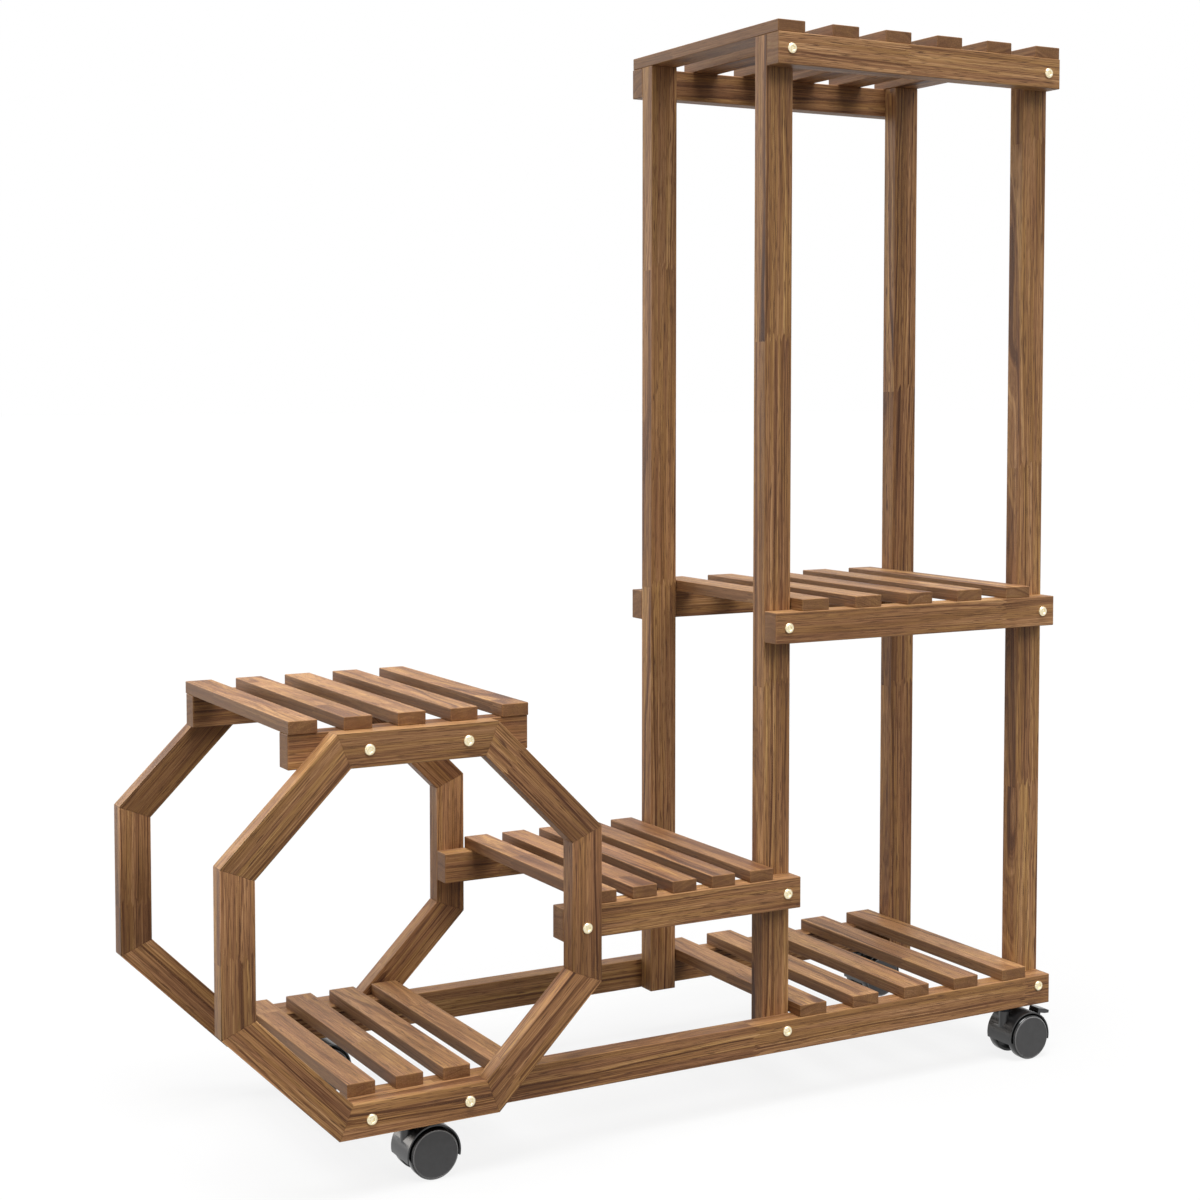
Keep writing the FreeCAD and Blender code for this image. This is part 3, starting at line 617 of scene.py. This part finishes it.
def finish_node(node, material, round_mm=0):
    """Gives a built node its material and, if asked, softened edges and even shading."""
    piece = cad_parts[node]
    for slot in piece.material_slots:
        slot.material = material
    if round_mm:
        weld = piece.modifiers.new("one skin", "WELD")
        weld.merge_threshold = 0.000003
        soften = piece.modifiers.new("moulded edges", "BEVEL")
        soften.width = round_mm / 1000
        soften.segments = 2
        soften.limit_method = "ANGLE"
        soften.angle_limit = math.radians(40)
        soften.use_clamp_overlap = True
        piece.modifiers.new("even faces", "WEIGHTED_NORMAL")


finish_node("threaded_inserts", zinc)
finish_node("stem_inserts", zinc)
finish_node("wood_dowels", beech)


# Casters: a steel stem screwed up into the bottom rail and coloured near-black as painted shade under the
# rail, a moulded black hood that swivels on it, a steel axle and two moulded wheels. The right-hand ones have
# a brake lever hinged in the hood.
WHEEL_SIDES = 96
WHEEL_HUB_REACH = 0.005
WHEEL_HUB_RADIUS = 0.006
AXLE_BORE_RADIUS = 0.00255
AXLE_BORE_DEPTH = 0.0128
WHEEL_BEVEL = 0.0016
WHEEL_RIM = 0.0026
WHEEL_HOLLOW = 0.0064
# Places on the wheel's grey ramp: near-black painted shade on the tread and inner side, a pale painted
# highlight on the rim, and the face's own grey.
TREAD_PAINTED_SHADE = 0.0
RIM_PAINTED_HIGHLIGHT = 0.8
FACE_GREY = 0.46
MOULDED_EDGE_MM = 0.3
LEVER_EDGE_MM = 0.6

# Nylon, moulded glossy black: deep black where it faces the wood, grey where it mirrors the pale floor.
hood_nylon, tree = blank_material("moulded black nylon")
flow = mottle(tree, 20, 3)
grit = mottle(tree, 0.9, 2)
black = add(tree, "ShaderNodeValToRGB", {"Fac": flow})
colour_stops(black, ((0.35, "#111112"), (0.65, "#1c1c1d")))
sheen = add(tree, "ShaderNodeMapRange", {"Value": flow, "To Min": 0.24, "To Max": 0.36})
texture = add(tree, "ShaderNodeBump", {"Height": grit, "Strength": 0.12, "Distance": 0.0002})
surface(
    tree,
    {
        "Base Color": black.outputs["Color"],
        "Roughness": sheen.outputs[0],
        "IOR": 1.53,
        "Specular IOR Level": 0.68,
        "Normal": texture.outputs[0],
    },
)

# Caster stem steel, coloured near-black as painted shade where it stands under the rail: half matt, with a
# faint grey bloom.
stem_painted_shade, tree = blank_material("stem steel in painted shade")
bloom = mottle(tree, 3, 3)
painted_shade_black = add(tree, "ShaderNodeValToRGB", {"Fac": bloom})
colour_stops(painted_shade_black, ((0.35, "#1d1e20"), (0.65, "#2c2d2f")))
half_matt = add(tree, "ShaderNodeMapRange", {"Value": bloom, "To Min": 0.4, "To Max": 0.6})
surface(tree, {"Base Color": painted_shade_black.outputs["Color"], "Metallic": 1, "Roughness": half_matt.outputs[0]})

# Polypropylene: a satin dark grey face with a faint haze of scuffs, a thin pale rim that is a painted
# highlight, and a glossy tread and hollow inner side coloured near-black as painted shade under the hood,
# which still mirror the floor.
wheel_plastic, tree = blank_material("moulded grey polypropylene")
haze = mottle(tree, 6, 5)
wheel_tone_and_painted_light = add(tree, "ShaderNodeAttribute", attribute_name="wear_and_painted_light").outputs["Fac"]
cloudy = add(tree, "ShaderNodeMath", {0: haze, 1: 0.16, 2: wheel_tone_and_painted_light}, operation="MULTIPLY_ADD")
grey = add(tree, "ShaderNodeValToRGB", {"Fac": cloudy.outputs[0]})
# Lowest stops: painted shade of tread and inner side; highest stop: painted highlight of the rim; middle: the
# face's own grey.
colour_stops(
    grey,
    (
        (0.03, "#0b0b0c"),
        (0.12, "#141415"),
        (0.5, "#383839"),
        (0.62, "#454546"),
        (0.95, "#7c7c7d"),
    ),
)
satin = add(tree, "ShaderNodeMapRange", {"Value": cloudy.outputs[0], "To Min": 0.2, "To Max": 0.56})
scuffs = add(tree, "ShaderNodeBump", {"Height": haze, "Strength": 0.1, "Distance": 0.0003})
surface(
    tree,
    {
        "Base Color": grey.outputs["Color"],
        "Roughness": satin.outputs[0],
        "IOR": 1.49,
        "Normal": scuffs.outputs[0],
    },
)

# The stems take the near-black steel as painted shade under the rail.
finish_node("caster_stems", stem_painted_shade, MOULDED_EDGE_MM)
for spot in ("front_left", "front_right", "rear_left", "rear_right"):
    finish_node(f"{spot}_hood", hood_nylon, MOULDED_EDGE_MM)
    finish_node(f"{spot}_axle", zinc, MOULDED_EDGE_MM)
    if spot.endswith("right"):
        finish_node(f"{spot}_brake_lever", hood_nylon, LEVER_EDGE_MM)
    for place in ("front", "rear"):
        node = f"{spot}_{place}_wheel"
        low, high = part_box(node)
        wheel_radius = (high.z - low.z) / 2
        wheel_width = high.y - low.y
        inner_face = high.y if place == "front" else low.y
        facing = Matrix.Rotation(math.radians(90 if place == "front" else -90), 4, "X")
        stand = Matrix.Translation(((low.x + high.x) / 2, inner_face, (low.z + high.z) / 2)) @ facing
        dark_rings = [
            (AXLE_BORE_DEPTH, AXLE_BORE_RADIUS),
            (0, AXLE_BORE_RADIUS),
            (0, WHEEL_HUB_RADIUS - 0.0004),
            (0.0004, WHEEL_HUB_RADIUS),
            (WHEEL_HUB_REACH + WHEEL_HOLLOW, WHEEL_HUB_RADIUS),
            (WHEEL_HUB_REACH + WHEEL_HOLLOW, wheel_radius - WHEEL_RIM - 0.0004),
            (WHEEL_HUB_REACH, wheel_radius - WHEEL_RIM),
            (WHEEL_HUB_REACH, wheel_radius - 0.0010),
            (WHEEL_HUB_REACH + 0.0003, wheel_radius - 0.0003),
            (WHEEL_HUB_REACH + 0.0010, wheel_radius),
            (wheel_width - WHEEL_BEVEL - 0.0004, wheel_radius),
            (wheel_width - WHEEL_BEVEL + 0.0002, wheel_radius - 0.0003),
            (wheel_width - 0.0006, wheel_radius - WHEEL_BEVEL + 0.0006),
        ]
        # The rim's rings, which get the painted highlight.
        rim_highlight_rings = [
            (wheel_width - 0.0005, wheel_radius - WHEEL_BEVEL + 0.0005),
            (wheel_width - 0.0001, wheel_radius - WHEEL_BEVEL + 0.0001),
            (wheel_width, wheel_radius - WHEEL_BEVEL - 0.0004),
        ]
        face_rings = [
            (wheel_width, wheel_radius - WHEEL_BEVEL - 0.0005),
            (wheel_width - 0.0003, wheel_radius - WHEEL_BEVEL - 0.0009),
            (wheel_width - 0.0003, 0.0005),
        ]
        wheel = assemble(
            f"{node}_plastic",
            [turned(dark_rings + rim_highlight_rings + face_rings, stand, WHEEL_SIDES)],
            wheel_plastic,
            f"{spot}_{place}_roller",
            [node],
        )
        ring_shares = [TREAD_PAINTED_SHADE] * len(dark_rings)
        ring_shares += [RIM_PAINTED_HIGHLIGHT] * len(rim_highlight_rings)
        ring_shares += [FACE_GREY] * len(face_rings)
        shares = [share for share in ring_shares for _ in range(WHEEL_SIDES)]
        wheel.data.attributes.new("wear_and_painted_light", "FLOAT", "POINT").data.foreach_set("value", shares)


# Studio: a wide pale floor under a white sky, one broad soft lamp overhead, and weaker ones in front, at the
# left and behind. The camera stands low in front of the octagon's left corner, as for the photograph.
# Each lamp has its colour, strength, width in degrees and the direction in which it stands.
FLOOR_REACH = 60
LAMPS = {
    "overhead lamp": ("#fdfeff", 3.85, 36, (-0.12, -0.12, 0.98)),
    "front lamp": ("#fff8f0", 1.14, 30, (0.22, -0.72, 0.66)),
    "left lamp": ("#fff8ee", 0.45, 50, (-0.96, -0.22, 0.15)),
    "back lamp": ("#fff8f0", 0.95, 36, (-0.48, 0.83, 0.27)),
}
SKY_LEVEL = 0.32
FLOOR_GLOW = 0.85
CAMERA_AT = (-0.98002, -1.74503, 0.68142)
CAMERA_TURN = 29.056
CAMERA_DIP = 3.07
CAMERA_LENS = 61.661
CAMERA_SHIFT = -0.08


def seen_directly(tree):
    """One on rays of the camera and in mirrors and glass, and nought on spread light."""
    ray = add(tree, "ShaderNodeLightPath")
    seen = ray.outputs["Is Camera Ray"]
    for kind in ("Is Glossy Ray", "Is Transmission Ray"):
        either = {0: seen, 1: ray.outputs[kind]}
        seen = add(tree, "ShaderNodeMath", either, operation="MAXIMUM").outputs[0]
    return seen


# Matt floor paint: white to the eye, with the faintest cloudiness, and grey to the light it throws back up.
floor_paint, tree = blank_material("matt pale floor paint")
where = add(tree, "ShaderNodeTexCoord").outputs["Object"]
cloud = add(tree, "ShaderNodeTexNoise", {"Vector": where, "Scale": 0.7, "Detail": 2}).outputs["Fac"]
paint = add(tree, "ShaderNodeValToRGB", {"Fac": cloud})
colour_stops(paint, ((0.3, "#545454"), (0.7, "#575757")))
shine = add(tree, "ShaderNodeMath", {0: seen_directly(tree), 1: FLOOR_GLOW}, operation="MULTIPLY")
surface(
    tree,
    {
        "Base Color": paint.outputs["Color"],
        "Roughness": 1,
        "Specular IOR Level": 0,
        "Emission Color": (1, 1, 1, 1),
        "Emission Strength": shine.outputs[0],
    },
)

ground = bpy.data.meshes.new("studio_floor")
reach = (-FLOOR_REACH, FLOOR_REACH)
ground.from_pydata([(x, y, 0) for y in reach for x in reach], [], [(0, 1, 3, 2)])
ground.materials.append(floor_paint)
floor = bpy.data.objects.new("studio_floor", ground)
bpy.context.collection.objects.link(floor)
floor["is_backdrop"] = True

sky = bpy.data.worlds.new("studio sky")
bpy.context.scene.world = sky
sky.use_nodes = True
tree = sky.node_tree
tree.nodes.clear()
level = add(tree, "ShaderNodeMapRange", {"Value": seen_directly(tree), "To Min": SKY_LEVEL, "To Max": 1})
glow = add(tree, "ShaderNodeBackground", {"Color": (1, 1, 1, 1), "Strength": level.outputs[0]})
add(tree, "ShaderNodeOutputWorld", {"Surface": glow.outputs[0]})

for name, (tint, strength, spread, source) in LAMPS.items():
    lamp = bpy.data.lights.new(name, "SUN")
    lamp.color = linear(tint)[:3]
    lamp.energy = strength
    lamp.angle = math.radians(spread)
    stand = bpy.data.objects.new(name, lamp)
    bpy.context.collection.objects.link(stand)
    stand.rotation_euler = Vector(source).to_track_quat("Z", "Y").to_euler()

lens = bpy.data.cameras.new("studio camera")
lens.lens = CAMERA_LENS
lens.sensor_width = 36
lens.shift_y = CAMERA_SHIFT
lens.clip_end = 200
camera = bpy.data.objects.new("studio camera", lens)
bpy.context.collection.objects.link(camera)
camera.location = CAMERA_AT
camera.rotation_euler = (math.radians(90 - CAMERA_DIP), 0, math.radians(-CAMERA_TURN))
bpy.context.scene.camera = camera
bpy.context.scene.view_settings.view_transform = "Standard"

boxes = {"cad": cad_box, "visual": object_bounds()}
